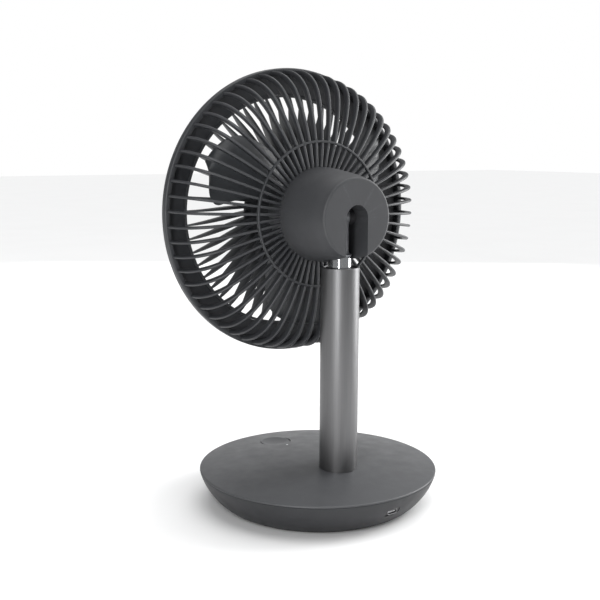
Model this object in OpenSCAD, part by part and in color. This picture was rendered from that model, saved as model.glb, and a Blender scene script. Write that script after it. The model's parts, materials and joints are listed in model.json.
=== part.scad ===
// Round desk fan on a weighted bowl base, with a telescoping neck and a tilting head.
// Origin: centre of the base on the table. +Z is up, the air leaves towards -Y.

/* [Base] */
// Radius of the base at its rim
rim_r = 90; // [80:1:110]
// Height of the rim above the table
rim_z = 26; // [24:0.5:30]
// Rise of the domed top from the rim to the centre
dome_rise = 6.7; // [4:0.1:9]
// Wall thickness of the moulded shells
wall = 2.2; // [1.8:0.1:3]
// Turn of the port and the button away from the head's centre plane, in degrees
control_turn = 3.8; // [-10:0.1:10]
// Distance of the power button from the base centre
button_y = 55.5; // [50:0.5:62]
// Radius of the power button
button_r = 12; // [9:0.5:13]
// Height of the charging port's centre
port_z = 14.5; // [12:0.5:17]

/* [Stem] */
// Distance of the stem behind the base centre
stem_y = 27.1; // [20:0.1:34]
// Outer radius of the stem tube
tube_r = 14; // [12:0.5:16]
// Height of the top of the stem tube
tube_top = 181.2; // [150:0.1:190]
// Radius of the sliding neck rod
rod_r = 8; // [6:0.5:9]
// Travel of the neck rod
neck_travel = 60; // [0:5:60]

/* [Head] */
// Height of the tilt pivot with the neck down
pivot_z = 217.2; // [212:0.1:240]
// Radius of the motor housing's back face
back_r = 28.6; // [26:0.1:32]
// Depth of the motor housing behind the pivot
back_d = 20.2; // [18:0.1:22]
// Radius of the motor housing at the guard
flank_r = 34.6; // [33:0.1:38]
// Outer radius of the guard
guard_r = 107.3; // [100:0.1:120]
// Depth of the guard's front edge in front of the pivot
guard_d = 67.1; // [64:0.1:75]
// Number of ribs in the rear guard
rear_ribs = 60; // [36:4:72]
// Number of ribs in the front grille
front_ribs = 52; // [30:2:60]
// Radius of the cap at the centre of the front grille
cap_r = 38.5; // [20:0.5:45]
// Half width of the slot in the motor housing
slot_w = 9.2; // [8.6:0.1:10]

/* [Fan] */
// Number of fan blades
blades = 3; // [3:1:7]
// Tip radius of the blades
tip_r = 87; // [60:1:90]
// Radius of the impeller hub
hub_r = 27; // [24:0.5:30]

/* [Hidden] */
$fn = 96;
eps = 0.01;         // overlap that keeps a cut from leaving a skin
fit = 0.05;         // radial clearance of a fixed fit
run = 0.1;          // radial clearance of a running fit
screw_r = 1.5;      // shank of every M3 screw
head_r = 2.8;       // head of every M3 screw
head_h = 2.2;
floor_z = 0.8;      // underside of the bowl
seam_z = rim_z - 1.4;                 // joint between the bowl and its cover
bowl_curve = 44;                      // radius of the bowl's side
bowl_foot = [74, floor_z + 1.2];      // lower end of the bowl's side
bowl_lip = [rim_r - 0.3, seam_z];     // upper end of the bowl's side
post_at = 66;                         // circle of the four cover posts
post_top = 14;
post_r = 4.2;
small_post_r = 3.4;
pad_z = 27;                           // seat of the stem socket under the cover
socket_r = 23;
socket_screw_at = 19.6;
tube_in = tube_r - 1.6;
tube_foot = 10;
rod_top = 190;
rod_foot = 92;
guide_h = 12;
arm_x = 4.2;                          // half thickness of the tilt arm
arm_y = 5.6;                          // half depth of the tilt arm
eye_r = 6.6;
pin_r = 2.5;
cheek = 2.2;                          // thickness of the slot's side walls
slot_front = -12.5;                   // front end of the slot, along the fan's axis
house_front = -27;                    // front edge of the motor housing
hub_back = house_front - 0.2;         // back face of the guard's hub plate
hub_plate = 3;
mid_ring_r = 53;
mid_ring_back = -24.3;                // back face of the guard's middle ring
rib_root = flank_r - 1.6;             // radius where a rear rib starts
duct_r = 88;                          // opening of the front frame
rib_turn = 4.2;                       // angle of the first rear rib
rib_t = 2;
grille_turn = 5.3;                    // angle of the first grille rib
grille_rise = 10.4;                   // how much deeper a grille rib is at the cap than at the rim
grille_half = 1.3;                    // half the thickness of a grille rib at the cap
grille_thin = 0.65;                   // how much of that it loses on the way to the rim
grille_edge = 2.1;                    // depth of a grille rib at the rim
grille_front = -guard_d - 6;          // front face of the grille
rib_sweep = 11;                       // turn of a grille rib towards the centre, in degrees
guard_screw_at = 29.5;
motor_screw_at = 12;
shaft_r = 2;
bearing_r = 5.5;
bearing_w = 4;
bearing_z = [-37.5, -50];             // front face of each bearing
can_r = 21;
can_front = -52;
cell_r = 9.2;
cell_l = 65;
cell_z = 17.4;
cradle_y = -18.5;                     // middle of the battery cradle
cell_y = [cradle_y - 9.5, cradle_y + 9.5];
cradle_screw_x = 41;
cradle_seat = 8;                      // top of the cradle's posts
board_top = port_z - 1.6;
board_x = 48;
board_y = [57, 74];
board_t = 1.6;
board_screw = [18, 62];
shell_r = 85.2;                       // outer face of the charging port, from the base centre
switch_foot = 12.8;                   // underside of the switch's board
switch_top = 19.6;                    // top of the plunger
press = 1.2;                          // travel of the button
plunger_r = 1.7;
light_gap = 4.2;                      // from the button's edge to the status light
light_r = 1;
collar_z = 24;                        // lower face of the collar under the button's hole
port_w = 13.4;                        // opening for the port's bezel
port_h = 6.4;
plug_w = 8.94;                        // outside of the receptacle's shell
plug_h = 3.16;
plug_t = 0.3;

// ---- outlines ----

// Points on an arc of radius r from p to q, bulging to the right of the line from p to q
function bulge(p, q, r, n) =
    let (d = q - p, l = norm(d), m = (p + q) / 2, h = sqrt(r * r - l * l / 4))
    let (c = m + [-d[1], d[0]] / l * h)
    let (a = atan2(p[1] - c[1], p[0] - c[0]), b = atan2(q[1] - c[1], q[0] - c[0]))
    [for (i = [0:n]) c + r * [cos(a + (b - a) * i / n), sin(a + (b - a) * i / n)]];

// The same arc drawn from the other end, so that it bulges to the left
function hollow(p, q, r, n) = let (a = bulge(q, p, r, n)) [for (i = [n:-1:0]) a[i]];

// Points on an arc about c
function arc(c, r, a, b, n) =
    [for (i = [0:n]) c + r * [cos(a + (b - a) * i / n), sin(a + (b - a) * i / n)]];

// Height of the domed top at a distance r from the centre
function dome_z(r) = rim_z + dome_rise * (1 - pow(r / rim_r, 2));

// The bowl's side, from its foot to its lip, moved in by t
function bowl_side(t) =
    bulge(bowl_foot + [-t, t], bowl_lip + [-t, 0], bowl_curve - t, 10);

function bowl_inside() =
    hollow(bowl_lip - [wall, 0], bowl_foot + [-wall, wall], bowl_curve - wall, 10);

// ---- frames and repeats ----

// The head's own frame: z along the fan's axis towards the back, y down, origin on the pivot
module at_head() {
    translate([0, stem_y, pivot_z]) rotate([-90, 0, 0]) children();
}

module at_stem() {
    translate([0, stem_y, 0]) children();
}

// The frame of the button and the port, turned about the base centre
module at_controls() {
    rotate([0, 0, control_turn]) children();
}

// The places of the board's and the cradle's screws
module board_places() {
    for (s = [-1, 1]) translate([s * board_screw[0], board_screw[1], 0]) children();
}

module cradle_places() {
    for (s = [-1, 1]) translate([s * cradle_screw_x, cradle_y, 0]) children();
}

module around(n, r, first = 0) {
    for (i = [0:n - 1]) rotate([0, 0, first + i * 360 / n]) translate([r, 0, 0]) children();
}

module ring(outer, inner, z0, z1) {
    translate([0, 0, z0]) difference() {
        cylinder(r = outer, h = z1 - z0);
        translate([0, 0, -eps]) cylinder(r = inner, h = z1 - z0 + 2 * eps);
    }
}

module slab(x, y, z0, z1) {
    translate([-x / 2, -y / 2, z0]) cube([x, y, z1 - z0]);
}

// An upright M3 screw with its head's underside at z = 0 and its shank rising to length
module screw(length) {
    translate([0, 0, -head_h]) difference() {
        cylinder(r = head_r, h = head_h);
        translate([0, 0, -eps]) cylinder(r = 1.3, h = 1.3, $fn = 6);
    }
    cylinder(r = screw_r, h = length);
}

// A flat slot shape standing across Y, for the port and its bezel
module stadium(w, h, y0, y1) {
    for (s = [-1, 1]) translate([s * (w - h) / 2, y0, 0])
        rotate([-90, 0, 0]) cylinder(r = h / 2, h = y1 - y0);
    translate([-(w - h) / 2, y0, -h / 2]) cube([w - h, y1 - y0, h]);
}

// ---- base ----

module base_shell() {
    color("#45464A") difference() {
        union() {
            rotate_extrude($fn = 180) polygon(concat(
                [[0, floor_z], [bowl_foot[0] - 3, floor_z]], bowl_side(0),
                bowl_inside(), [[bowl_foot[0] - wall - 2, floor_z + wall], [0, floor_z + wall]]));
            around(4, post_at, 45) cylinder(r = post_r, h = post_top);
            board_places() cylinder(r = small_post_r, h = board_top - board_t);
            cradle_places() cylinder(r = small_post_r, h = cradle_seat);
            at_controls() intersection() {
                translate([0, 0, port_z]) stadium(port_w + 4.6, port_h + 4.6, 79, rim_r);
                rotate_extrude($fn = 180) polygon(concat(
                    [[0, floor_z]], bowl_side(0.2), [[0, seam_z]]));
            }
        }
        translate([0, 0, -eps]) cylinder(r = 200, h = floor_z + eps);
        around(4, post_at, 45) {
            cylinder(r = screw_r + 0.2, h = 30);
            cylinder(r = head_r + 0.4, h = post_top - 4);
        }
        board_places() translate([0, 0, 4]) cylinder(r = screw_r + fit, h = 20);
        cradle_places() translate([0, 0, 3]) cylinder(r = screw_r + fit, h = 20);
        at_controls() translate([0, 0, port_z]) stadium(port_w, port_h, 70, rim_r);
        ring(70.4, 61.6, floor_z - eps, floor_z + 0.8);
    }
}

// Everything below the domed top, moved down by t
module dome_solid(t) {
    rotate_extrude($fn = 180) polygon(concat(
        [[0, 0]], [for (i = [11:-1:0]) let (r = i * 83.6 / 11) [r, dome_z(r) - t]]));
}

module base_cover() {
    edge = 1.1;
    color("#6A6C6F") difference() {
        union() {
            rotate_extrude($fn = 180) polygon(concat(
                [for (i = [0:12]) let (r = i * (rim_r - edge) / 12) [r, dome_z(r)]],
                arc([rim_r - edge, rim_z - 0.3], edge, 60, -20, 5),
                [[rim_r - 0.7, seam_z + 0.1], [85.4, seam_z + 0.1], [85.4, 21], [83.6, 21]],
                [for (i = [11:-1:0]) let (r = i * 83.6 / 11) [r, dome_z(r) - wall]]));
            around(4, post_at, 45) translate([0, 0, post_top + 0.1])
                cylinder(r = post_r, h = dome_z(post_at) - wall - post_top);
            intersection() {
                at_stem() translate([0, 0, pad_z]) cylinder(r = socket_r + 1, h = 8);
                dome_solid(0.6);
            }
            at_controls() translate([0, -button_y, collar_z]) ring(button_r + 3, button_r, 0, 4);
        }
        around(4, post_at, 45) cylinder(r = screw_r + fit, h = dome_z(post_at) - wall);
        at_stem() {
            cylinder(r = tube_r + fit, h = 50);
            around(4, socket_screw_at, 45) cylinder(r = screw_r + fit, h = pad_z + 4);
        }
        at_controls() translate([0, -button_y, 10]) cylinder(r = button_r + 0.35, h = 40);
        at_controls() translate([0, light_gap + button_r - button_y, 10])
            cylinder(r = light_r + fit, h = 40);
    }
}

module foot_ring() {
    color("#1D1D1F") difference() {
        ring(70.2, 61.8, 0, floor_z + 0.7);
        around(4, post_at, 45) translate([0, 0, -eps]) cylinder(r = head_r + 0.5, h = 5);
    }
}

module base_screws() {
    color("silver") around(4, post_at, 45) translate([0, 0, post_top - 4]) screw(12);
}

module ballast_plate() {
    color("#8A8C8E") difference() {
        translate([0, 0, floor_z + wall + 0.1]) cylinder(r = post_at - post_r - 2.8, h = 3.6);
        cradle_places() cylinder(r = small_post_r + 0.4, h = 20);
    }
}

module battery_cradle() {
    color("#2A2B2D") difference() {
        union() {
            translate([0, cradle_y, 0]) slab(cell_l + 5, 42, floor_z + wall + 3.8, 15);
            cradle_places() slab(14, 10, cradle_seat + 0.1, cradle_seat + 2.5);
        }
        for (y = cell_y) translate([-cell_l / 2 - 0.5, y, cell_z])
            rotate([0, 90, 0]) cylinder(r = cell_r + 0.1, h = cell_l + 1);
        cradle_places() cylinder(r = screw_r + 0.2, h = 20);
    }
}

module battery_cells() {
    color("#3E6E8E") for (y = cell_y) translate([-cell_l / 2, y, cell_z]) rotate([0, 90, 0]) {
        cylinder(r = cell_r, h = cell_l - 1);
        cylinder(r = 3, h = cell_l);
    }
}

module cradle_screws() {
    color("silver") cradle_places() translate([0, 0, cradle_seat + 2.5])
        mirror([0, 0, 1]) screw(6.5);
}

module control_board() {
    color("#1F5A3C") {
        difference() {
            union() {
                translate([-board_x / 2, board_y[0], board_top - board_t])
                    cube([board_x, board_y[1] - board_y[0], board_t]);
                at_controls() translate([-9, board_y[1] - 4, board_top - board_t])
                    cube([18, 7.6, board_t]);
            }
            board_places() cylinder(r = screw_r + 0.2, h = 20);
        }
        translate([-3, 65, 0]) slab(7, 7, board_top - eps, board_top + 1);
        translate([9, 69, 0]) slab(6, 5, board_top - eps, board_top + 2.4);
        translate([-13, 69, 0]) slab(5, 3, board_top - eps, board_top + 1);
    }
}

module board_screws() {
    color("silver") board_places() translate([0, 0, board_top])
        mirror([0, 0, 1]) screw(6);
}

module usb_port() {
    color("#B9BABC") at_controls() translate([0, 0, port_z]) {
        difference() {
            stadium(plug_w, plug_h, shell_r - 7.4, shell_r);
            stadium(plug_w - 2 * plug_t, plug_h - 2 * plug_t, shell_r - 6.2, shell_r + eps);
        }
        translate([-3.2, shell_r - 6.3, -0.35]) cube([6.4, 5.4, 0.7]);
    }
}

module port_bezel() {
    color("#3A3B3E") at_controls() difference() {
        intersection() {
            translate([0, 0, port_z]) stadium(port_w - 2 * fit, port_h - 2 * fit, 79.5, rim_r);
            rotate_extrude($fn = 180) polygon(concat(
                [[0, floor_z]], bowl_side(0.35), [[0, seam_z]]));
        }
        translate([0, 0, port_z]) stadium(plug_w + 2 * fit, plug_h + 2 * fit, 70, rim_r);
    }
}

module button_guide() {
    color("#2A2B2D") at_controls() translate([0, -button_y, 0]) difference() {
        union() {
            ring(button_r + 2.4, button_r + 0.4, switch_foot + 3, collar_z);
            ring(button_r + 2.4, 4, switch_foot + board_t, switch_foot + 3 + eps);
        }
        translate([0, 0, switch_foot]) cylinder(r = 4.3, h = 4);
    }
}

// A tact switch on its own small board, bored for the plunger
module button_switch() {
    body_top = switch_top - press - 0.6;
    color("#101011") at_controls() translate([0, -button_y, 0]) difference() {
        union() {
            slab(20, 14, switch_foot, switch_foot + board_t);
            slab(6, 6, switch_foot + board_t - eps, body_top);
        }
        translate([0, 0, switch_foot + board_t + 0.2]) cylinder(r = plunger_r + run, h = 10);
    }
}

module switch_plunger() {
    color("#3A3B3E") at_controls() translate([0, -button_y, switch_top - 3])
        cylinder(r = plunger_r, h = 3);
}

// Finger dish on top, and a rib below that reaches the switch
module power_button() {
    top = dome_z(button_y) - 0.2;
    color("#717376") at_controls() translate([0, -button_y, 0]) difference() {
        union() {
            translate([0, 0, 22.2]) cylinder(r = button_r, h = top - 22.2);
            translate([0, 0, switch_top]) cylinder(r = 2.4, h = 3);
        }
        translate([0, 0, top + 69.2]) sphere(r = 70.4, $fn = 180);
    }
}

module status_light() {
    at = light_gap + button_r - button_y;
    color("white") at_controls() translate([0, at, 18])
        cylinder(r = light_r, h = dome_z(at) - 18.15);
}

// ---- stem and neck ----

module stem_socket() {
    color("#77797C") at_stem() difference() {
        union() {
            translate([0, 0, pad_z - 5]) cylinder(r = socket_r, h = 4.9);
            translate([0, 0, tube_foot - 2]) cylinder(r = tube_r + 3.5, h = pad_z - tube_foot - 1);
        }
        translate([0, 0, tube_foot]) cylinder(r = tube_r + fit, h = 30);
        around(4, socket_screw_at, 45) {
            cylinder(r = screw_r + 0.2, h = 40);
            translate([0, 0, -eps]) cylinder(r = head_r + 0.3, h = pad_z - 5 + 2 * eps);
        }
    }
}

module stem_screws() {
    color("silver") at_stem() around(4, socket_screw_at, 45)
        translate([0, 0, pad_z - 5]) screw(8.2);
}

module stem_tube() {
    color("#97999C") at_stem() rotate_extrude($fn = 128) polygon([
        [tube_in, tube_foot], [tube_r, tube_foot], [tube_r, tube_top - 0.5],
        [tube_r - 0.5, tube_top], [tube_in + 0.3, tube_top], [tube_in, tube_top - 0.3]]);
}

module tube_bush() {
    color("#1B1C1E") at_stem() difference() {
        ring(tube_in - fit, rod_r + run, tube_top - 17, tube_top - 1);
        ring(rod_r + 2.1, rod_r, tube_top - 12, tube_top - 6);
    }
}

module grip_ring() {
    color("silver") at_stem() ring(rod_r + 2, rod_r + run, tube_top - 11.9, tube_top - 6.1);
}

module neck_rod() {
    color("#D8DADC") at_stem() ring(rod_r, rod_r - 1.5, rod_foot, rod_top - 1);
}

module rod_guide() {
    color("#2A2B2D") at_stem() difference() {
        union() {
            translate([0, 0, rod_foot - 2]) cylinder(r = tube_in - run, h = 2 - fit);
            translate([0, 0, rod_foot - 2]) cylinder(r = rod_r - 1.5 - fit, h = 8);
            ring(tube_in - run, rod_r + fit, rod_foot - 2, rod_foot + guide_h - 2);
        }
        translate([0, 0, rod_foot - 3]) cylinder(r = 4, h = 20);
    }
}

// A spigot in the rod, a collar on it, and a flat tongue that ends in the pivot eye
module tilt_arm() {
    spigot = rod_r - 1.5 - fit;
    color("#A8AAAD") at_stem() difference() {
        union() {
            translate([0, 0, rod_top - 18]) cylinder(r = spigot, h = 18);
            translate([0, 0, rod_top - 0.9]) cylinder(r1 = rod_r, r2 = rod_r - 0.5, h = 1.6);
            translate([0, 0, rod_top + 0.6]) cylinder(r1 = rod_r - 0.5, r2 = arm_y, h = 3);
            slab(2 * arm_x, 2 * arm_y, rod_top, pivot_z);
            translate([-arm_x, 0, pivot_z]) rotate([0, 90, 0]) cylinder(r = eye_r, h = 2 * arm_x);
        }
        translate([-20, 0, pivot_z]) rotate([0, 90, 0]) cylinder(r = pin_r + fit, h = 40);
        translate([0, 0, rod_top - 20]) cylinder(r = 3, h = 16);
    }
}

// ---- head: housing and pivot ----

function house_side(t) = [
    [back_r - 2 - t, back_d - t], [back_r - 0.6 - t, back_d - 0.6 - t],
    [back_r - t, back_d - 2 - t], [back_r + 2.4 - t, 8], [back_r + 4.3 - t, -6],
    [flank_r - 0.3 - t, -18], [flank_r - t, house_front]
];

// The slot's outline, round at the top and open at the bottom, run along the fan's axis
module slot_cut(w, grow) {
    translate([0, 0, slot_front - grow]) linear_extrude(back_d - slot_front + 5)
        polygon(concat(arc([0, 0], w, 180, 360, 32), [[w, 50], [-w, 50]]));
}

module motor_housing() {
    color("#55565A") at_head() difference() {
        union() {
            rotate_extrude($fn = 144) polygon(concat([[0, back_d]], house_side(0),
                [for (i = [6:-1:0]) house_side(wall)[i]], [[0, back_d - wall]]));
            intersection() {
                slot_cut(slot_w + cheek, cheek);
                rotate_extrude($fn = 144) polygon(concat([[0, back_d - 0.7]],
                    house_side(0.7), [[0, house_front]]));
            }
            around(3, guard_screw_at, 30) translate([0, 0, house_front + 0.4])
                cylinder(r = 3.6, h = 12);
        }
        slot_cut(slot_w, 0);
        translate([-30, 0, 0]) rotate([0, 90, 0]) cylinder(r = pin_r + 0.02, h = 60);
        around(3, guard_screw_at, 30) translate([0, 0, house_front - 1])
            cylinder(r = screw_r + fit, h = 10);
    }
}

module tilt_pin() {
    reach = slot_w + cheek - 0.1;
    color("silver") at_head() translate([-reach, 0, 0]) rotate([0, 90, 0])
        cylinder(r = pin_r, h = 2 * reach);
}

// Each fills the slot beside the arm, so its top is rounded as the slot is
module tilt_washers() {
    color("#26272A") at_head() intersection() {
        for (s = [0, 1]) mirror([s, 0, 0]) translate([arm_x + fit, 0, 0]) rotate([0, 90, 0])
            ring(eye_r - 0.6, pin_r + fit, 0, slot_w - arm_x - 2 * fit);
        slot_cut(slot_w - fit, 0);
    }
}

module driver_board() {
    color("#1F5A3C") at_head() difference() {
        union() {
            ring(25, 9, -22.6, -21);
            translate([14, 8, 0]) slab(6, 6, -21 - eps, -19.6);
            translate([-15, -7, 0]) slab(7, 5, -21 - eps, -19);
        }
        around(3, guard_screw_at, 30) translate([0, 0, -25]) cylinder(r = 3.6, h = 10);
    }
}

// ---- head: guards ----

// One rear rib, drawn in radius and depth: its back edge out to the rim, then its inner edge
module rear_rib() {
    back = concat(
        [[flank_r + 0.1, -25.6], [mid_ring_r, mid_ring_back - 0.6], [72, -27.4], [86, -31.4]],
        hollow([94.4, -35.6], [104.6, -56], 26, 5), [[105.6, -guard_d + 1.5]]);
    inside = concat(
        [[102.4, -guard_d + 1.5]], bulge([100.9, -56.5], [92, -39.6], 22, 5),
        [[84.5, -36.4], [71, -32.5], [mid_ring_r, -30.1], [rib_root, -29.7],
            [rib_root, hub_back - 0.4], [flank_r + 0.1, hub_back - 0.4]]);
    rotate([90, 0, 0]) translate([0, 0, -rib_t / 2]) linear_extrude(rib_t)
        polygon(concat(back, inside));
}

module rear_guard() {
    color("#3A3B3E") at_head() {
        difference() {
            union() {
                ring(flank_r, 8, hub_back - hub_plate, hub_back);
                ring(mid_ring_r + 0.8, mid_ring_r - 0.8, mid_ring_back - 2.4, mid_ring_back);
                ring(guard_r, guard_r - 3.6, -guard_d, -guard_d + 4);
                around(rear_ribs, 0, rib_turn) rear_rib();
            }
            around(3, guard_screw_at, 30) translate([0, 0, -40]) cylinder(r = screw_r + 0.2, h = 20);
            around(3, motor_screw_at, 0) translate([0, 0, -40]) cylinder(r = screw_r + fit, h = 20);
        }
    }
}

module guard_screws() {
    color("silver") at_head() around(3, guard_screw_at, 30) translate([0, 0, -30.3]) screw(11);
}

module front_frame() {
    color("#3A3B3E") at_head() translate([0, 0, -guard_d - 0.1]) rotate_extrude($fn = 180)
        polygon([
            [duct_r, -3.9], [103.2, -1.6], [103.2, 0], [guard_r, 0], [guard_r, -0.8],
            [guard_r - 1.1, -2.6], [104.6, -3.9], [duct_r + 1, -6.3], [duct_r, -5.9]]);
}

// How far a grille rib has turned at radius r: straight out at the rim, swept towards the hub
function sweep_angle(r) = rib_sweep * pow((duct_r - r) / (duct_r - 17), 1.9);

// Depth of a grille rib, k going from 0 at the cap to 1 at the rim: it swells soon after the rim
function grille_depth(k) = grille_edge + grille_rise * (1 - pow(k, 3));

// Points down one side of a grille rib, which thins towards the rim
function rib_side(s) = [for (i = [0:8])
    let (k = s > 0 ? i / 8 : 1 - i / 8, r = cap_r - 2 + (duct_r + 1 - cap_r) * k)
    let (a = s * (grille_half - grille_thin * k) / r * 180 / PI - sweep_angle(r))
    [r * cos(a), r * sin(a)]];

// The ribs are shallow at the rim and deep at the cap
module front_grille() {
    color("#3A3B3E") at_head() translate([0, 0, grille_front]) {
        intersection() {
            around(front_ribs, 0, grille_turn) linear_extrude(grille_edge + grille_rise)
                polygon(concat(rib_side(1), rib_side(-1)));
            rotate_extrude($fn = 180) polygon([
                [cap_r - 4, 0], [duct_r - 1, 0],
                for (k = [1:-0.2:-0.01]) [cap_r - 2 + (duct_r + 1 - cap_r) * k, grille_depth(max(k, 0))],
                [cap_r - 4, grille_edge + grille_rise]]);
        }
        cylinder(r = cap_r - 0.6, h = 2.4);
        ring(duct_r - fit, duct_r - 2, 0, grille_edge);
    }
}

module front_cap() {
    color("#55565A") at_head() translate([0, 0, grille_front - 0.1]) rotate_extrude() polygon([
        [0, -2.2], [cap_r * 0.6, -1.7], [cap_r - 2.4, -0.8], [cap_r, 0], [0, 0]]);
}

// ---- head: motor and impeller ----

module motor_base() {
    color("#9A9C9F") at_head() difference() {
        union() {
            ring(16, 5, -33.4, -30.3);
            ring(bearing_r + 2, bearing_r + fit, -50.2, -33.3);
        }
        around(3, motor_screw_at, 0) translate([0, 0, -40]) cylinder(r = screw_r + 0.2, h = 20);
    }
}

module motor_screws() {
    color("silver") at_head() around(3, motor_screw_at, 0) translate([0, 0, -33.4]) screw(5.5);
}

module motor_bearings() {
    color("silver") at_head() for (z = bearing_z)
        ring(bearing_r, shaft_r + 0.03, z, z + bearing_w);
}

module motor_stator() {
    teeth = 9;
    color("#B07A3C") at_head() {
        ring(10.4, bearing_r + 2 + fit, -46, -37);
        around(teeth, 0, 0) translate([9.8, -1.8, -45.5]) cube([6, 3.6, 8]);
        around(teeth, 0, 0) intersection() {
            translate([14.6, -4.2, -45.5]) cube([4, 8.4, 8]);
            translate([0, 0, -46]) cylinder(r = 17, h = 9);
        }
    }
}

module rotor_can() {
    color("#7C7E81") at_head() {
        ring(can_r, can_r - 1.2, can_front, -35.6);
        ring(can_r - 0.6, shaft_r + 0.03, can_front, can_front + 1.4);
    }
}

module rotor_magnets() {
    color("#3B3B3B") at_head() ring(can_r - 1.25, 17.7, -48, -36);
}

module motor_shaft() {
    color("silver") at_head() translate([0, 0, -60]) cylinder(r = shaft_r, h = 26.5);
}

// One blade, from its root (u = 0) to its tip (u = 1) and across its chord (v = -1 to 1)
blade_rows = 14;
blade_cols = 10;
blade_t = 1.6;
blade_z = -49.5;     // depth of the blades' middle
blade_rise = 8;      // how far each edge lies from that depth
blade_camber = 2.5;
blade_turn = -46;    // angle of the first blade's root
blade_root = 25.5;   // half of the angle that a root takes up
tip_from = 0.8;      // where the chord starts to round off

// Rows lie closer together towards the tip
function blade_u(i) = 1 - pow(1 - i / blade_rows, 1.5);
function blade_half(u) =
    (blade_root - 6 * u * u) * sqrt(1 - 0.95 * pow(max(0, u - tip_from) / (1 - tip_from), 2));
function blade_mid(u) = 24 * pow(u, 1.3);
function blade_pt(u, v, s) =
    let (r = hub_r - 1.5 + (tip_r - hub_r + 1.5) * u, a = blade_half(u) * v + blade_mid(u))
    let (z = blade_z + blade_rise * v + blade_camber * (1 - v * v))
    [r * cos(a), r * sin(a), z + s * blade_t / 2 * (1 - 0.7 * v * v)];

module blade() {
    n = blade_cols + 1;
    m = blade_rows + 1;
    pts = [for (s = [1, -1], i = [0:blade_rows], j = [0:blade_cols])
        blade_pt(blade_u(i), 2 * j / blade_cols - 1, s)];
    function at(s, i, j) = s * n * m + i * n + j;
    faces = concat(
        [for (i = [0:blade_rows - 1], j = [0:blade_cols - 1], k = [0, 1]) k == 0
            ? [at(0, i, j), at(0, i, j + 1), at(0, i + 1, j)]
            : [at(0, i, j + 1), at(0, i + 1, j + 1), at(0, i + 1, j)]],
        [for (i = [0:blade_rows - 1], j = [0:blade_cols - 1], k = [0, 1]) k == 0
            ? [at(1, i, j), at(1, i + 1, j), at(1, i, j + 1)]
            : [at(1, i, j + 1), at(1, i + 1, j), at(1, i + 1, j + 1)]],
        [for (i = [0:blade_rows - 1], e = [0, 1], k = [0, 1])
            let (j = e * blade_cols, a = at(0, i, j), b = at(0, i + 1, j))
            let (c = at(1, i, j), d = at(1, i + 1, j))
            e == 0 ? (k == 0 ? [a, b, c] : [b, d, c]) : (k == 0 ? [a, c, b] : [b, c, d])],
        [for (j = [0:blade_cols - 1], e = [0, 1], k = [0, 1])
            let (i = e * blade_rows, a = at(0, i, j), b = at(0, i, j + 1))
            let (c = at(1, i, j), d = at(1, i, j + 1))
            e == 0 ? (k == 0 ? [a, c, b] : [b, c, d]) : (k == 0 ? [a, b, c] : [b, d, c])]);
    polyhedron(points = pts, faces = faces);
}

module impeller() {
    color("#45464A") at_head() {
        difference() {
            union() {
                ring(hub_r, can_r + 0.1, -55.4, -36);
                translate([0, 0, -57]) cylinder(r1 = hub_r - 2, r2 = hub_r, h = 1.8);
                translate([0, 0, -55.3]) cylinder(r = hub_r - 0.5, h = 2.4);
            }
            translate([0, 0, -60]) cylinder(r = shaft_r + 0.03, h = 20);
        }
        around(blades, 0, blade_turn) blade();
    }
}

module impeller_nut() {
    color("#2A2B2D") at_head() difference() {
        translate([0, 0, -61.5]) cylinder(r = 6, h = 4.4);
        translate([0, 0, -60.1]) cylinder(r = shaft_r + 0.03, h = 5);
    }
}

base_shell();
base_cover();
foot_ring();
base_screws();
ballast_plate();
battery_cradle();
battery_cells();
cradle_screws();
control_board();
board_screws();
usb_port();
port_bezel();
button_guide();
button_switch();
switch_plunger();
power_button();
status_light();
stem_socket();
stem_screws();
stem_tube();
tube_bush();
grip_ring();
neck_rod();
rod_guide();
tilt_arm();
motor_housing();
tilt_pin();
tilt_washers();
driver_board();
rear_guard();
guard_screws();
motor_base();
motor_screws();
motor_bearings();
motor_stator();
rotor_can();
rotor_magnets();
motor_shaft();
impeller();
impeller_nut();
front_frame();
front_grille();
front_cap();
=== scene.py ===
import json
import math

import bmesh
import bpy
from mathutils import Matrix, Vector


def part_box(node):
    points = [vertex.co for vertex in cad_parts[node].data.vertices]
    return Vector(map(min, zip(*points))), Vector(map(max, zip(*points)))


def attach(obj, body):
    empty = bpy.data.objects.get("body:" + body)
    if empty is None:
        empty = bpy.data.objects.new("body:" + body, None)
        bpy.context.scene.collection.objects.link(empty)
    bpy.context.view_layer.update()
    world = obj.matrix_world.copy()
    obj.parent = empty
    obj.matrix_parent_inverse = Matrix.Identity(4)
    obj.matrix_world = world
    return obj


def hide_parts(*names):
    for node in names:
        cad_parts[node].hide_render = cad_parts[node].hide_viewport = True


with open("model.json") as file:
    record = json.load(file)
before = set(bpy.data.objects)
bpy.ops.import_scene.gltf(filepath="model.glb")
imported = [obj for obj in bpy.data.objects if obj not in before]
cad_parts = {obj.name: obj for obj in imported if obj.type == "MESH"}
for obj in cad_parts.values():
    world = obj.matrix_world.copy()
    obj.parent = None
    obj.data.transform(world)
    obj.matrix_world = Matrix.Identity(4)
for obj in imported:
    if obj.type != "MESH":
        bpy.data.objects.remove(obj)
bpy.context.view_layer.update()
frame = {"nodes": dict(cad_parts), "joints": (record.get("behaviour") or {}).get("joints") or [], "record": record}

MM = 0.001
TAU = 2 * math.pi
SHARP_FROM = math.radians(38)

# ---- sizes, read from the frame or repeated from the design, in millimetres ----

PIVOT = Vector(next(j for j in frame["joints"] if j["name"] == "head_tilt")["pos_m"])
STEM_Y = PIVOT.y / MM
PIVOT_Z = PIVOT.z / MM


def span(node, axis):
    """Lowest and highest place of a CAD node along one axis, in millimetres."""
    low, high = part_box(node)
    return low[axis] / MM, high[axis] / MM


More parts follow.
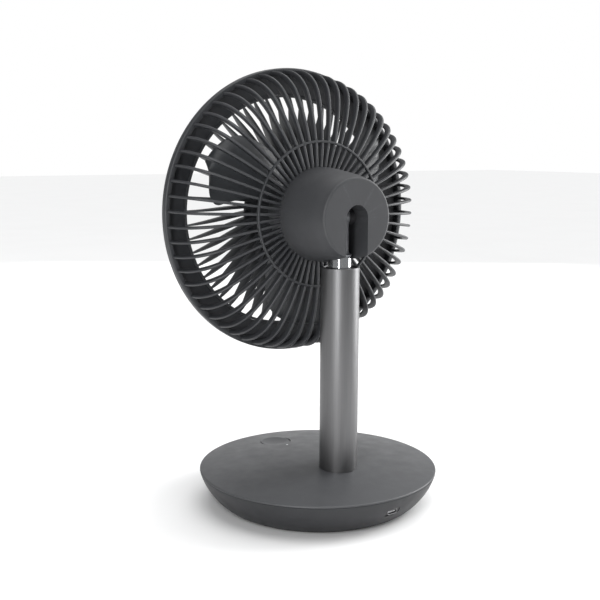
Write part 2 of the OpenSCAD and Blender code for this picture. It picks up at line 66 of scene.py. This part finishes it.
RIM_R = span("base_cover", 0)[1]
FLOOR_Z = 0.8
DOME_RISE = 6.7
RIM_Z = 26.0
SEAM_Z = RIM_Z - 1.4
WALL = 2.2
CONTROL_TURN = math.radians(3.8)
BUTTON_Y = 55.5
BUTTON_R = 12.0
LIGHT_GAP = 4.2
PORT_Z = 14.5
PORT_RECESS = (13.4, 6.4)
SKIRT_OUT, SKIRT_IN, SKIRT_Z = 85.4, 83.6, 21
CUT_LOW, CUT_HIGH = 5, 45
TUBE_R = span("stem_tube", 0)[1]
TUBE_IN = TUBE_R - 1.6
TUBE_FOOT, TUBE_TOP = span("stem_tube", 2)
ROD_R = span("neck_rod", 0)[1]
ROD_FOOT = span("neck_rod", 2)[0]
ROD_TOP = 190.0
ARM_X, ARM_Y, EYE_R, PIN_R = 4.2, 5.6, 6.6, 2.5
BACK_R, FLANK_R = 28.6, span("motor_housing", 0)[1]
BACK_D = span("motor_housing", 1)[1] - STEM_Y
HOUSE_FRONT = span("motor_housing", 1)[0] - STEM_Y
SLOT_W, CHEEK, SLOT_FRONT = 9.2, 2.2, -12.5
GUARD_R = span("rear_guard", 0)[1]
GUARD_D = STEM_Y - span("rear_guard", 1)[0]
MID_RING_R, MID_RING_BACK = 53.0, -24.3
DUCT_R = 88.0
CAP_R = span("front_cap", 0)[1]
REAR_RIBS, RIB_TURN, RIB_T = 60, math.radians(4.2), 2.0
GRILLE_RIBS, GRILLE_TURN = 52, math.radians(5.3)
GRILLE_FRONT, GRILLE_EDGE, GRILLE_RISE = -GUARD_D - 6, 2.1, 9.5
BLADES, BLADE_TURN, BLADE_Z, BLADE_T = 3, math.radians(-46), -49.5, 1.6
TIP_R, HUB_R, CAN_R = 87.0, 27.0, 21.0


# ---- outlines ----

def dome_z(r):
    """Height of the base's domed top at radius r."""
    return RIM_Z + DOME_RISE * (1 - (r / RIM_R) ** 2)


def bulge(p, q, radius, steps):
    """Points on an arc from p to q, bulging to the right of the line between them."""
    p, q = Vector(p), Vector(q)
    d = q - p
    h = math.sqrt(radius * radius - d.length_squared / 4)
    c = (p + q) / 2 + Vector((-d.y, d.x)) / d.length * h
    a = math.atan2(p.y - c.y, p.x - c.x)
    b = math.atan2(q.y - c.y, q.x - c.x)
    turns = [a + (b - a) * i / steps for i in range(steps + 1)]
    return [(c.x + radius * math.cos(t), c.y + radius * math.sin(t)) for t in turns]


def rounded(points, steps=4):
    """A closed outline whose corners (x, y, radius) are turned into arcs."""
    out = []
    n = len(points)
    for i, point in enumerate(points):
        p = Vector(point[:2])
        radius = point[2] if len(point) > 2 else 0
        if not radius:
            out.append((p.x, p.y))
            continue
        before = (Vector(points[i - 1][:2]) - p).normalized()
        after = (Vector(points[(i + 1) % n][:2]) - p).normalized()
        half = before.angle(after) / 2
        reach = radius / math.tan(half)
        centre = p + (before + after).normalized() * radius / math.sin(half)
        start, end = p + before * reach - centre, p + after * reach - centre
        a = math.atan2(start.y, start.x)
        turn = math.remainder(math.atan2(end.y, end.x) - a, TAU)
        for k in range(steps + 1):
            t = a + turn * k / steps
            out.append((centre.x + radius * math.cos(t), centre.y + radius * math.sin(t)))
    return out


def smooth_path(points, steps):
    """Catmull-Rom points through a list of 2-D points, steps to each stretch."""
    pts = [Vector(p) for p in points]
    pts = [2 * pts[0] - pts[1]] + pts + [2 * pts[-1] - pts[-2]]
    out = []
    for i in range(1, len(pts) - 2):
        a, b, c, d = pts[i - 1:i + 3]
        for k in range(steps):
            t = k / steps
            out.append(0.5 * (2 * b + (c - a) * t + (2 * a - 5 * b + 4 * c - d) * t * t
                              + (3 * b - a - 3 * c + d) * t ** 3))
    return out + [pts[-2]]


# ---- frames: each turns (radius, height, angle) into a point in metres ----

def upright(x=0.0, y=0.0):
    return lambda r, h, a: Vector((x + r * math.cos(a), y + r * math.sin(a), h)) * MM


def head(r, d, a):
    """Round the fan's axis: d is the depth behind the pivot, a turns from +X down to -Z."""
    return Vector((r * math.cos(a), STEM_Y + d, PIVOT_Z - r * math.sin(a))) * MM


def across(r, h, a):
    """Round the tilt axis: h runs along X."""
    return Vector((h, STEM_Y + r * math.cos(a), PIVOT_Z + r * math.sin(a))) * MM


stem = upright(0, STEM_Y)


def control_place(distance):
    """Centre of a control on the base's own front-to-back line, distance behind the centre."""
    return (-distance * math.sin(CONTROL_TURN), distance * math.cos(CONTROL_TURN))


# ---- mesh building ----

def new_object(name, bm):
    bmesh.ops.recalc_face_normals(bm, faces=bm.faces[:])
    mesh = bpy.data.meshes.new(name)
    bm.to_mesh(mesh)
    bm.free()
    mesh.shade_smooth()
    mesh.set_sharp_from_angle(angle=SHARP_FROM)
    obj = bpy.data.objects.new(name, mesh)
    bpy.context.scene.collection.objects.link(obj)
    return obj


def add_lathe(bm, outline, place, steps=96):
    """Turns a closed outline of (radius, height) round an axis, into bm."""
    rings = []
    for r, h in outline:
        if r < 1e-6:
            rings.append([bm.verts.new(place(0, h, 0))])
        else:
            rings.append([bm.verts.new(place(r, h, TAU * k / steps)) for k in range(steps)])
    for i, ring in enumerate(rings):
        other = rings[(i + 1) % len(rings)]
        for k in range(steps):
            m = (k + 1) % steps
            corners = [ring[k % len(ring)], ring[m % len(ring)],
                       other[m % len(other)], other[k % len(other)]]
            corners = list(dict.fromkeys(corners))
            if len(corners) > 2:
                bm.faces.new(corners)


def lathe(name, outline, place, steps=96):
    bm = bmesh.new()
    add_lathe(bm, outline, place, steps)
    return new_object(name, bm)


def add_loft(bm, rings):
    """Skins closed rings of points, in metres, and caps both ends."""
    rows = [[bm.verts.new(p) for p in ring] for ring in rings]
    n = len(rows[0])
    for low, high in zip(rows, rows[1:]):
        for k in range(n):
            bm.faces.new((low[k], low[(k + 1) % n], high[(k + 1) % n], high[k]))
    bm.faces.new(rows[0][::-1])
    bm.faces.new(rows[-1])


def prism(name, outline, place):
    """A straight solid: outline points go through place at each of its two ends."""
    bm = bmesh.new()
    add_loft(bm, [[place(x, y, end) for x, y in outline] for end in (0, 1)])
    return new_object(name, bm)


def stadium(w, h, steps=16):
    """A flat slot outline, w wide and h high."""
    out = []
    for side in (1, -1):
        for k in range(steps + 1):
            t = math.pi * k / steps - math.pi / 2
            out.append((side * ((w - h) / 2 + h / 2 * math.cos(t)), side * h / 2 * math.sin(t)))
    return out


def apply_modifiers(obj):
    graph = bpy.context.evaluated_depsgraph_get()
    mesh = bpy.data.meshes.new_from_object(obj.evaluated_get(graph))
    old = obj.data
    obj.modifiers.clear()
    obj.data = mesh
    bpy.data.meshes.remove(old)


def combine(obj, tool):
    """Cuts the tool out of the object."""
    cut = obj.modifiers.new("cut", "BOOLEAN")
    cut.operation = "DIFFERENCE"
    cut.object = tool
    cut.solver = "EXACT"
    apply_modifiers(obj)
    bpy.data.objects.remove(tool)


def soften(obj, width, segments=2):
    """Rounds the sharp edges that cuts leave."""
    bevel = obj.modifiers.new("edge", "BEVEL")
    bevel.width = width * MM
    bevel.segments = segments
    bevel.limit_method = "ANGLE"
    bevel.angle_limit = math.radians(50)
    bevel.miter_outer = "MITER_ARC"
    apply_modifiers(obj)
    obj.data.shade_smooth()
    obj.data.set_sharp_from_angle(angle=SHARP_FROM)
    even = obj.modifiers.new("even", "WEIGHTED_NORMAL")
    even.keep_sharp = True
    apply_modifiers(obj)


# ---- materials ----

def nodes_of(name):
    mat = bpy.data.materials.new(name)
    mat.use_nodes = True
    tree = mat.node_tree
    shader = tree.nodes["Principled BSDF"]
    return mat, tree, shader


def add(tree, kind, **values):
    node = tree.nodes.new(kind)
    for key, value in values.items():
        if key in node.inputs:
            node.inputs[key].default_value = value
        else:
            setattr(node, key, value)
    return node


def noise(tree, scale, detail=3.0, stretch=(1, 1, 1), rough=0.55):
    """Noise in the object's own metres; stretch squeezes it along an axis."""
    place = tree.nodes.new("ShaderNodeTexCoord")
    size = add(tree, "ShaderNodeMapping")
    size.inputs["Scale"].default_value = stretch
    grain = add(tree, "ShaderNodeTexNoise", Scale=scale, Detail=detail, Roughness=rough)
    tree.links.new(place.outputs["Object"], size.inputs["Vector"])
    tree.links.new(size.outputs["Vector"], grain.inputs["Vector"])
    return grain.outputs["Fac"]


def ramp(tree, factor, stops):
    node = tree.nodes.new("ShaderNodeValToRGB")
    elements = node.color_ramp.elements
    for _ in stops[2:]:
        elements.new(0.5)
    for element, (place, colour) in zip(elements, stops):
        element.position = place
        element.color = (*colour, 1)
    tree.links.new(factor, node.inputs["Fac"])
    return node.outputs["Color"]


def grey(v):
    return (v, v, v)


def scaled(colour, k):
    return tuple(min(1, c * k) for c in colour)


def bump(tree, shader, height, distance):
    node = add(tree, "ShaderNodeBump", Strength=1.0, Distance=distance * MM)
    tree.links.new(height, node.inputs["Height"])
    tree.links.new(node.outputs["Normal"], shader.inputs["Normal"])


def worn_colour(tree, colour, spread, wear, wear_scale=260):
    """Mottled colour that lightens along convex edges where the surface has been handled."""
    base = ramp(tree, noise(tree, 38, 4), [(0.3, scaled(colour, 1 - spread)),
                                           (0.7, scaled(colour, 1 + spread))])
    edges = tree.nodes.new("ShaderNodeNewGeometry")
    edge = ramp(tree, edges.outputs["Pointiness"], [(0.52, grey(0)), (0.62, grey(1))])
    broken = ramp(tree, noise(tree, wear_scale, 5), [(0.42, grey(0)), (0.62, grey(wear))])
    mask = add(tree, "ShaderNodeMath", operation="MULTIPLY")
    tree.links.new(edge, mask.inputs[0])
    tree.links.new(broken, mask.inputs[1])
    mix = add(tree, "ShaderNodeMix", data_type="RGBA")
    tree.links.new(mask.outputs[0], mix.inputs["Factor"])
    tree.links.new(base, mix.inputs["A"])
    mix.inputs["B"].default_value = (*scaled(colour, 2.1), 1)
    return mix.outputs["Result"]


def plastic(name, colour, rough=0.5, grain=0.02, spread=0.05, wear=0.35, grain_scale=2600):
    """Moulded plastic with a fine spark-eroded grain."""
    mat, tree, shader = nodes_of(name)
    tree.links.new(worn_colour(tree, colour, spread, wear), shader.inputs["Base Color"])
    fine = noise(tree, grain_scale, 2)
    tree.links.new(ramp(tree, noise(tree, 90, 3), [(0.3, grey(rough - 0.05)),
                                                   (0.7, grey(rough + 0.06))]),
                   shader.inputs["Roughness"])
    bump(tree, shader, fine, grain)
    return mat


def metal(name, colour, rough, stretch=(1, 1, 1), scale=900, marks=0.06, depth=0.004):
    """Metal whose fine lines run along the axis that stretch squeezes least."""
    mat, tree, shader = nodes_of(name)
    shader.inputs["Metallic"].default_value = 1
    lines = noise(tree, scale, 4, stretch)
    tree.links.new(ramp(tree, lines, [(0.3, scaled(colour, 1 - marks)),
                                      (0.7, scaled(colour, 1 + marks))]),
                   shader.inputs["Base Color"])
    tree.links.new(ramp(tree, noise(tree, scale * 0.4, 3, stretch),
                        [(0.3, grey(max(0.02, rough - 0.04))), (0.7, grey(rough + 0.05))]),
                   shader.inputs["Roughness"])
    if depth:
        bump(tree, shader, lines, depth)
    return mat


MATERIALS = {
    # base_plastic is the cover's plastic made about three times darker: painted shade standing in for the light
    # the base's upright sides miss, so the top reads lighter
    "base_plastic": plastic("base_plastic", (0.020, 0.0208, 0.0235), 0.52),
    "cover_plastic": plastic("cover_plastic", (0.060, 0.062, 0.066), 0.46),
    "guard_plastic": plastic("guard_plastic", (0.030, 0.0315, 0.035), 0.44),
    "housing_plastic": plastic("housing_plastic", (0.036, 0.0372, 0.0405), 0.55),
    "fan_plastic": plastic("fan_plastic", (0.038, 0.041, 0.045), 0.36, grain=0.008),
    "inner_plastic": plastic("inner_plastic", (0.020, 0.020, 0.022), 0.45),
    "foot_rubber": plastic("foot_rubber", (0.012, 0.012, 0.013), 0.75, grain=0.05),
    "cell_wrap": plastic("cell_wrap", (0.03, 0.12, 0.22), 0.25, grain=0.004),
    "board_resin": plastic("board_resin", (0.012, 0.09, 0.045), 0.3, grain=0.01),
    "light_lens": plastic("light_lens", (0.62, 0.64, 0.66), 0.25, grain=0.004, wear=0),
    "screw_steel": metal("screw_steel", (0.60, 0.60, 0.61), 0.3),
    "ballast_steel": metal("ballast_steel", (0.22, 0.22, 0.23), 0.5),
    "port_steel": metal("port_steel", (0.42, 0.42, 0.43), 0.3),
    "cast_zinc": metal("cast_zinc", (0.40, 0.41, 0.43), 0.42, scale=700, depth=0.01),
    "tube_aluminium": metal("tube_aluminium", (0.17, 0.17, 0.173), 0.42, (1, 1, 0.02), 1400),
    "rod_chrome": metal("rod_chrome", (0.62, 0.63, 0.64), 0.10, (1, 1, 0.05), 600, 0.02, 0.0),
    "pin_steel": metal("pin_steel", (0.50, 0.50, 0.51), 0.25),
    "motor_steel": metal("motor_steel", (0.38, 0.39, 0.40), 0.35),
    "magnet": metal("magnet", (0.05, 0.05, 0.055), 0.6),
    "copper": metal("copper", (0.50, 0.22, 0.10), 0.35, (1, 1, 1), 1200),
}


def finish_piece(obj, slot, body, *stands_for):
    obj.data.materials.clear()
    obj.data.materials.append(MATERIALS[slot])
    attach(obj, body)
    if stands_for:
        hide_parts(*stands_for)
    return obj


def dress_cad_nodes():
    """Every CAD node keeps its shape and takes the material of its own slot."""
    for part in frame["record"]["subparts"]:
        obj = frame["nodes"][part["node"]]
        obj.data.materials.clear()
        obj.data.materials.append(MATERIALS[part["material_slot"]])


# ---- base ----

def bowl_side(inset):
    foot = (74 - inset, FLOOR_Z + 1.2 + inset)
    lip = (RIM_R - 0.3 - inset, SEAM_Z)
    return bulge(foot, lip, 44 - inset, 20)


def port_place(x, z, end):
    """Out of the port along the base's own line: end 0 is inside the bowl, end 1 outside it."""
    far = (70 + 30 * end)
    c, s = math.cos(CONTROL_TURN), math.sin(CONTROL_TURN)
    return Vector((x * c - far * s, x * s + far * c, PORT_Z + z)) * MM


def drill(radius):
    """Outline of a round tool that reaches right through the cover."""
    return [(0, CUT_LOW), (radius, CUT_LOW), (radius, CUT_HIGH), (0, CUT_HIGH)]


def make_base():
    inner = bowl_side(WALL)[::-1]
    outline = [(0, FLOOR_Z), (71.2, FLOOR_Z)] + bowl_side(0) + inner + [(0, FLOOR_Z + WALL)]
    bowl = lathe("bowl", outline, upright(), 160)
    combine(bowl, prism("port_cut", stadium(*PORT_RECESS), port_place))
    soften(bowl, 0.35)
    # The bowl's darker colour is painted shade on the base's sides, not a different plastic
    finish_piece(bowl, "base_plastic", "base", "base_shell")

    dome = [(r, dome_z(r)) for r in [RIM_R * k / 30 * 0.985 for k in range(31)]]
    edge = rounded([dome[-1] + (0,), (RIM_R, RIM_Z + 0.2, 0.9), (RIM_R - 0.3, SEAM_Z + 0.15, 0.4),
                    (SKIRT_OUT, SEAM_Z + 0.15, 0), (SKIRT_OUT, SKIRT_Z, 0.5),
                    (SKIRT_IN, SKIRT_Z, 0.5)])[1:]
    under = [(r, dome_z(r) - WALL) for r in [SKIRT_IN * (11 - k) / 11 for k in range(12)]]
    top = lathe("top", dome + edge + under, upright(), 160)
    x, y = control_place(-BUTTON_Y)
    combine(top, lathe("button_cut", drill(BUTTON_R + 0.35), upright(x, y), 96))
    x, y = control_place(LIGHT_GAP + BUTTON_R - BUTTON_Y)
    combine(top, lathe("light_cut", drill(1.05), upright(x, y), 32))
    combine(top, lathe("stem_cut", drill(TUBE_R + 0.05), stem, 96))
    soften(top, 0.3)
    finish_piece(top, "cover_plastic", "base", "base_cover")


def make_button():
    height = dome_z(BUTTON_Y) - 0.2
    dish = 1.0
    face = [(BUTTON_R * 0.92 * k / 12, height - dish * (1 - (k / 12) ** 2)) for k in range(13)]
    outline = face + rounded([(face[-1][0], face[-1][1], 0), (BUTTON_R, height, 0.7),
                              (BUTTON_R, 22.2, 0.3), (2.4, 22.2, 0), (2.4, 19.7, 0.4),
                              (0, 19.7)])[1:]
    x, y = control_place(-BUTTON_Y)
    button = lathe("button_cap", outline, upright(x, y), 96)
    finish_piece(button, "cover_plastic", "button", "power_button")


# ---- stem and neck ----

def make_stem():
    tube = rounded([(TUBE_IN, TUBE_FOOT, 0.2), (TUBE_R, TUBE_FOOT, 0.3), (TUBE_R, TUBE_TOP, 0.55),
                    (TUBE_IN, TUBE_TOP, 0.4)])
    finish_piece(lathe("tube", tube, stem, 128), "tube_aluminium", "base", "stem_tube")
    low, high = span("tube_bush", 2)
    bush = rounded([(ROD_R + 0.1, low, 0.3), (TUBE_IN - 0.05, low, 0.3),
                    (TUBE_IN - 0.05, high, 0.3),
                    (ROD_R + 1.3, high, 0.3), (ROD_R + 0.1, high - 1.1, 0.3)])
    finish_piece(lathe("mouth_bush", bush, stem), "inner_plastic", "base", "tube_bush")


def make_neck():
    rod = rounded([(ROD_R - 1.5, ROD_FOOT, 0.2), (ROD_R, ROD_FOOT, 0.4), (ROD_R, ROD_TOP - 1, 0.3),
                   (ROD_R - 1.5, ROD_TOP - 1, 0.2)])
    finish_piece(lathe("rod", rod, stem, 96), "rod_chrome", "neck", "neck_rod")

    def section(half_x, half_y, z, power):
        ring = []
        for k in range(48):
            c, s = math.cos(TAU * k / 48), math.sin(TAU * k / 48)
            x = half_x * math.copysign(abs(c) ** (2 / power), c)
            y = half_y * math.copysign(abs(s) ** (2 / power), s)
            ring.append(Vector((x, STEM_Y + y, z)) * MM)
        return ring

    spigot = ROD_R - 1.55
    rings = [section(spigot, spigot, ROD_TOP - 18, 2), section(spigot, spigot, ROD_TOP - 1, 2),
             section(ROD_R - 0.3, ROD_R - 0.3, ROD_TOP - 0.95, 2),
             section(ROD_R - 0.02, ROD_R - 0.02, ROD_TOP - 0.6, 2),
             section(ROD_R - 0.02, ROD_R - 0.02, ROD_TOP + 0.2, 2)]
    for k in range(1, 11):
        t = k / 10
        ease = math.sin(t * math.pi / 2)
        rings.append(section(ROD_R + (ARM_X - ROD_R) * ease, ROD_R + (ARM_Y - ROD_R) * ease,
                             ROD_TOP + 0.2 + 3.4 * (1 - math.cos(t * math.pi / 2)), 2 + 4 * t))
    rings.append(section(ARM_X, ARM_Y, PIVOT_Z - EYE_R * 0.55, 6))
    bm = bmesh.new()
    add_loft(bm, rings)
    eye = rounded([(PIN_R + 0.05, -ARM_X, 0.2), (EYE_R, -ARM_X, 0.8), (EYE_R, ARM_X, 0.8),
                   (PIN_R + 0.05, ARM_X, 0.2)])
    add_lathe(bm, eye, across, 64)
    finish_piece(new_object("arm", bm), "cast_zinc", "neck", "tilt_arm")


# ---- head ----

def slot_outline(half, low=60):
    """Round above the fan's axis, straight sides below it."""
    arc = [(half * math.cos(t), half * math.sin(t)) for t in [math.pi * k / 32 for k in range(33)]]
    return arc + [(-half, -low), (half, -low)]


def slot_place(front, back):
    return lambda x, z, end: Vector((x, STEM_Y + (back if end else front), PIVOT_Z + z)) * MM


def house_outline(inset):
    side = smooth_path([(BACK_R + 0.2 - inset, BACK_D - 2.4), (BACK_R + 2.4 - inset, 8),
                        (BACK_R + 4.3 - inset, -6), (FLANK_R - 0.3 - inset, -18),
                        (FLANK_R - inset, HOUSE_FRONT)], 6)
    corner = rounded([(0, BACK_D - inset, 0), (BACK_R - inset, BACK_D - inset, 2.0),
                      (*side[0], 0)], 8)
    return corner[:-1] + [tuple(p) for p in side] + [(0, HOUSE_FRONT)]


def make_housing():
    shell = lathe("housing", house_outline(0), head, 128)
    cavity = lathe("cavity", house_outline(WALL)[:-1]
                   + [(FLANK_R - WALL, HOUSE_FRONT - 3), (0, HOUSE_FRONT - 3)], head, 128)
    combine(cavity, prism("channel", slot_outline(SLOT_W + CHEEK),
                          slot_place(SLOT_FRONT - CHEEK, BACK_D + 5)))
    combine(shell, cavity)
    combine(shell, prism("slot", slot_outline(SLOT_W), slot_place(SLOT_FRONT, BACK_D + 5)))
    soften(shell, 0.55, segments=3)
    finish_piece(shell, "housing_plastic", "head", "motor_housing")


RIB_BACK = [(34.2, -25.6), (44, -25.0), (53, -24.9), (72, -27.4), (86, -31.4), (94.2, -35.8),
            (100.2, -42.4), (103.8, -50.2), (105.5, -58), (105.8, -65.4)]
RIB_INSIDE = [(34.2, -30.1), (44, -30.2), (53, -30.2), (71, -32.5), (84.5, -36.4), (91.6, -40.4),
              (96.7, -45.8), (100.1, -52.4), (101.7, -58.6), (102.3, -65.4)]


def add_rib(bm, back, inside, angle, half):
    """A rounded bar between its back and inside edges, in the axial plane at one angle."""
    rings = []
    arc = [math.pi * k / 6 for k in range(7)]
    for b, i in zip(back, inside):
        run = (b - i).normalized()
        ring = []
        for end, way in ((b, 1), (i, -1)):
            centre = end - run * way * half
            for t in arc:
                p = centre + run * way * half * math.sin(t)
                side = way * half * math.cos(t)
                turn = angle + math.asin(side / p.x)
                ring.append(head(p.x, p.y, turn))
        rings.append(ring)
    add_loft(bm, rings)


def make_rear_guard():
    back, inside = smooth_path(RIB_BACK, 3), smooth_path(RIB_INSIDE, 3)
    bm = bmesh.new()
    for k in range(REAR_RIBS):
        add_rib(bm, back, inside, RIB_TURN + TAU * k / REAR_RIBS, RIB_T / 2)
    front = HOUSE_FRONT - 3.2
    hub = rounded([(FLANK_R, HOUSE_FRONT - 0.2, 0.4), (8, HOUSE_FRONT - 0.2, 0.3),
                   (8, front, 0.3), (FLANK_R, front, 0.8)])
    add_lathe(bm, hub, head, 128)
    outer, inner, deep = MID_RING_R + 0.8, MID_RING_R - 0.8, MID_RING_BACK - 2.4
    ring = rounded([(outer, MID_RING_BACK, 0.5), (inner, MID_RING_BACK, 0.5),
                    (inner, deep, 0.3), (outer, deep, 0.3)])
    add_lathe(bm, ring, head, 160)
    rim = rounded([(GUARD_R, 4 - GUARD_D, 1.2), (GUARD_R - 4.4, 4 - GUARD_D, 1.2),
                   (GUARD_R - 4.4, -GUARD_D, 0.3), (GUARD_R, -GUARD_D, 0.3)])
    add_lathe(bm, rim, head, 180)
    finish_piece(new_object("guard", bm), "guard_plastic", "head", "rear_guard")


def sweep(r):
    """How far a grille rib has turned at radius r."""
    return math.radians(11) * ((DUCT_R - min(r, DUCT_R)) / (DUCT_R - 17)) ** 1.9


def make_front():
    front = -GUARD_D - 0.1
    ring = rounded([(DUCT_R, front - 3.9, 0.7), (103.2, front - 1.6, 0.3), (103.2, front, 0.2),
                    (GUARD_R, front, 0.2), (GUARD_R, front - 0.8, 0.4),
                    (GUARD_R - 1.1, front - 2.6, 1.2), (104.6, front - 3.9, 1.5),
                    (DUCT_R + 1, front - 6.3, 0.6), (DUCT_R, front - 5.9, 0.3)])
    finish_piece(lathe("front_ring", ring, head, 180), "guard_plastic", "head", "front_frame")

    bm = bmesh.new()
    steps = 14
    for k in range(GRILLE_RIBS):
        rings = []
        for i in range(steps + 1):
            u = i / steps
            r = CAP_R - 2 + (DUCT_R + 1 - CAP_R) * u
            half = 1.3 - 0.65 * u
            deep = GRILLE_EDGE + GRILLE_RISE * (1 - u ** 3)
            outline = rounded([(-half, 0, 0.25), (half, 0, 0.25), (half * 0.8, deep, 0.25),
                               (-half * 0.8, deep, 0.25)], 2)
            angle = GRILLE_TURN + TAU * k / GRILLE_RIBS - sweep(r)
            rings.append([head(r, GRILLE_FRONT + d, angle + x / r) for x, d in outline])
        add_loft(bm, rings)
    edge = rounded([(DUCT_R - 0.05, GRILLE_FRONT, 0.4), (DUCT_R - 0.05, GRILLE_FRONT + 2.1, 0.3),
                    (DUCT_R - 2, GRILLE_FRONT + 2.1, 0.4), (DUCT_R - 2, GRILLE_FRONT, 0.5)])
    add_lathe(bm, edge, head, 180)
    add_lathe(bm, rounded([(0, GRILLE_FRONT, 0), (CAP_R - 0.6, GRILLE_FRONT, 0.3),
                           (CAP_R - 0.6, GRILLE_FRONT + 2.4, 0.8), (0, GRILLE_FRONT + 2.4, 0)]),
              head, 128)
    finish_piece(new_object("grille", bm), "guard_plastic", "head", "front_grille")

    low = GRILLE_FRONT - 0.1
    rise = 2.2
    face = [(CAP_R * 0.94 * k / 14, low - rise + 1.3 * (k / 14) ** 2) for k in range(15)]
    cap = face + rounded([face[-1] + (0,), (CAP_R, low, 0.4), (0, low, 0)])[1:]
    finish_piece(lathe("centre_cap", cap, head, 128), "housing_plastic", "head", "front_cap")


def blade_point(u, v, side):
    r = HUB_R - 1.5 + (TIP_R - HUB_R + 1.5) * u
    half = (25.5 - 6 * u * u) * math.sqrt(1 - 0.95 * (max(0, u - 0.8) / 0.2) ** 2)
    a = BLADE_TURN + math.radians(half * v + 24 * u ** 1.3)
    thick = BLADE_T / 2 * (1 - 0.7 * v * v) * side
    return r, BLADE_Z + 8 * v + 2.5 * (1 - v * v) + thick, a


def make_impeller():
    bm = bmesh.new()
    rows, cols = 30, 24
    for k in range(BLADES):
        turn = TAU * k / BLADES
        rings = []
        for i in range(rows + 1):
            ring = []
            for side in (1, -1):
                for j in range(cols + 1):
                    v = side * (2 * j / cols - 1)
                    r, d, a = blade_point(1 - (1 - i / rows) ** 1.5, v, side)
                    ring.append(head(r, d, a + turn))
            rings.append(ring)
        add_loft(bm, rings)
    hub = rounded([(CAN_R + 0.1, -36, 0.3), (HUB_R, -36, 0.6), (HUB_R, -55.4, 2.5),
                   (HUB_R - 3, -57, 1),
                   (2.05, -57, 0), (2.05, -53, 0), (CAN_R + 0.1, -53, 0.4)])
    add_lathe(bm, hub, head, 96)
    finish_piece(new_object("fan_wheel", bm), "fan_plastic", "fan", "impeller")


# ---- studio ----

def make_stage():
    bm = bmesh.new()
    size, steps = 8.0, 24
    for i in range(steps + 1):
        for j in range(steps + 1):
            bm.verts.new((size * (2 * i / steps - 1), size * (2 * j / steps - 1), 0))
    bm.verts.ensure_lookup_table()
    for i in range(steps):
        for j in range(steps):
            a = i * (steps + 1) + j
            bm.faces.new([bm.verts[k] for k in (a, a + steps + 1, a + steps + 2, a + 1)])
    floor = new_object("floor", bm)
    mat, tree, shader = nodes_of("floor_paper")
    tree.links.new(ramp(tree, noise(tree, 6, 2), [(0.2, grey(0.90)), (0.8, grey(0.92))]),
                   shader.inputs["Base Color"])
    shader.inputs["Roughness"].default_value = 0.9
    shader.inputs["Specular IOR Level"].default_value = 0.1
    floor.data.materials.append(mat)


VIEW_AZ, VIEW_EL, VIEW_ROLL = math.radians(146.81), math.radians(9.07), math.radians(0.22)
VIEW_AIM = Vector((0.0008, -0.0242, 0.1501))
VIEW_FAR = 0.7356
LENS = 57.52


def view_axes():
    back = Vector((math.sin(VIEW_AZ) * math.cos(VIEW_EL), -math.cos(VIEW_AZ) * math.cos(VIEW_EL),
                   math.sin(VIEW_EL)))
    right = Vector((math.cos(VIEW_AZ), math.sin(VIEW_AZ), 0))
    return back, right


def make_camera():
    back, right = view_axes()
    data = bpy.data.cameras.new("camera")
    data.lens = LENS
    data.sensor_width = 36
    data.clip_start = 0.01
    cam = bpy.data.objects.new("camera", data)
    bpy.context.scene.collection.objects.link(cam)
    cam.location = VIEW_AIM + back * VIEW_FAR
    cam.rotation_mode = "QUATERNION"
    aim = (-back).to_track_quat("-Z", "Y")
    cam.rotation_quaternion = aim
    cam.rotation_mode = "XYZ"
    cam.rotation_euler.rotate_axis("Z", VIEW_ROLL)
    bpy.context.scene.camera = cam


def softbox(name, side, high, far, size, power, aim_z=0.15, tall=None):
    """A soft light: side turns it from the camera's direction towards the right of the view."""
    back, right = view_axes()
    flat = Vector((back.x, back.y, 0)).normalized()
    turn = math.radians(side)
    way = flat * math.cos(turn) + right * math.sin(turn)
    data = bpy.data.lights.new(name, "AREA")
    data.shape = "RECTANGLE"
    data.size, data.size_y = size, tall or size
    data.energy = power
    light = bpy.data.objects.new(name, data)
    bpy.context.scene.collection.objects.link(light)
    light.location = way * far + Vector((0, 0, high))
    light.rotation_mode = "QUATERNION"
    light.rotation_quaternion = (Vector((0, 0, aim_z)) - light.location).to_track_quat("-Z", "Y")
    light.visible_camera = False


def make_lights():
    softbox("key", 112, 0.42, 0.95, 0.5, 9.5, tall=0.8)
    softbox("fill", -15, 0.42, 0.9, 0.10, 5.0, tall=0.8)
    softbox("backdrop", 180, 0.30, 1.5, 1.2, 2, tall=0.5)
    data = bpy.data.lights.new("overhead", "SUN")
    data.energy = 2.4
    data.angle = math.radians(70)
    sky = bpy.data.objects.new("overhead", data)
    bpy.context.scene.collection.objects.link(sky)
    back, right = view_axes()
    lean = Vector((0, 0, 1)) + 0.25 * right - 0.15 * Vector((back.x, back.y, 0))
    sky.rotation_mode = "QUATERNION"
    sky.rotation_quaternion = (-lean).to_track_quat("-Z", "Y")
    world = bpy.data.worlds.new("studio")
    bpy.context.scene.world = world
    world.use_nodes = True
    tree = world.node_tree
    tree.nodes.clear()
    rays = tree.nodes.new("ShaderNodeLightPath")
    seen = add(tree, "ShaderNodeBackground", Strength=1.0)
    seen.inputs["Color"].default_value = (1, 1, 1, 1)
    lit = add(tree, "ShaderNodeBackground", Strength=0.29)
    lit.inputs["Color"].default_value = (0.98, 0.99, 1, 1)
    mix = tree.nodes.new("ShaderNodeMixShader")
    out = tree.nodes.new("ShaderNodeOutputWorld")
    tree.links.new(rays.outputs["Is Camera Ray"], mix.inputs["Fac"])
    tree.links.new(lit.outputs[0], mix.inputs[1])
    tree.links.new(seen.outputs[0], mix.inputs[2])
    tree.links.new(mix.outputs[0], out.inputs["Surface"])
    bpy.context.scene.view_settings.view_transform = "Standard"


dress_cad_nodes()
make_base()
make_button()
make_stem()
make_neck()
make_housing()
make_rear_guard()
make_front()
make_impeller()
make_stage()
make_camera()
make_lights()
